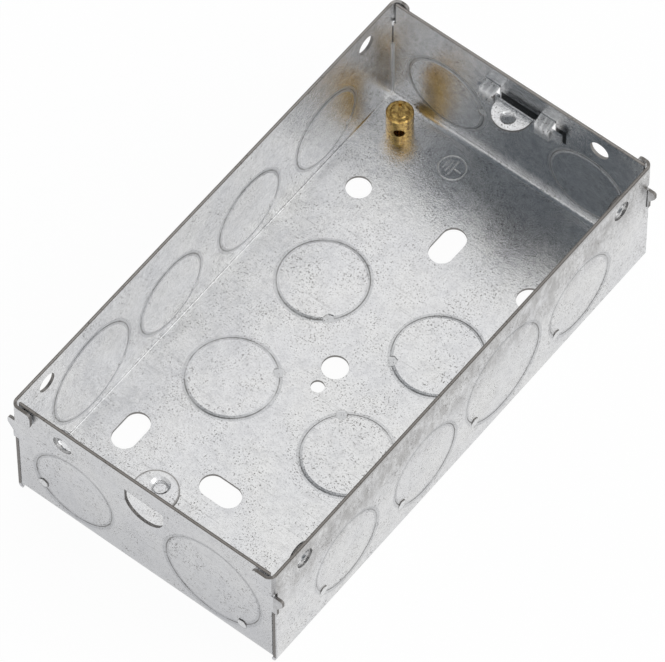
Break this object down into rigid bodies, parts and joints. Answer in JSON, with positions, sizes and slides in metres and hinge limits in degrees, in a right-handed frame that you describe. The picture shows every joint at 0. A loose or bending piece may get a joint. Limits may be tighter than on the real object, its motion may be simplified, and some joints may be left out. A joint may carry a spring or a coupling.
{
  "type": "metal back box",
  "caption": "Shallow open steel box for recessing a double wiring accessory in a wall, with conduit knockouts, faceplate screw lugs and a brass earth terminal.",
  "frame": {"origin": "middle of the back face, on the plane of the wall or backing that the box is screwed to", "axes": "+Z out of the open front, +Y along the length towards the sliding lug, +X across the width"},
  "size_m": [0.0754, 0.1342, 0.0355],
  "materials": {
    "galvanised_steel": "satin hot-dip zinc coating with a fine grain",
    "brass": "machined, slightly dull"
  },
  "bodies": {
    "box": {"box_body": "galvanised_steel", "earth_terminal": "brass"},
    "lug": {"sliding_lug": "galvanised_steel"},
    "clamp_screw": {"terminal_screw": "brass"}
  },
  "joints": [
    {"name": "lug_adjustment", "type": "slide", "parent": "box", "child": "lug", "axis": [1, 0, 0], "range_m": [-0.0012, 0.0006]},
    {"name": "clamp_screw_travel", "type": "slide", "parent": "box", "child": "clamp_screw", "axis": [0, 0, 1], "range_m": [-0.001, 0.002]}
  ]
}
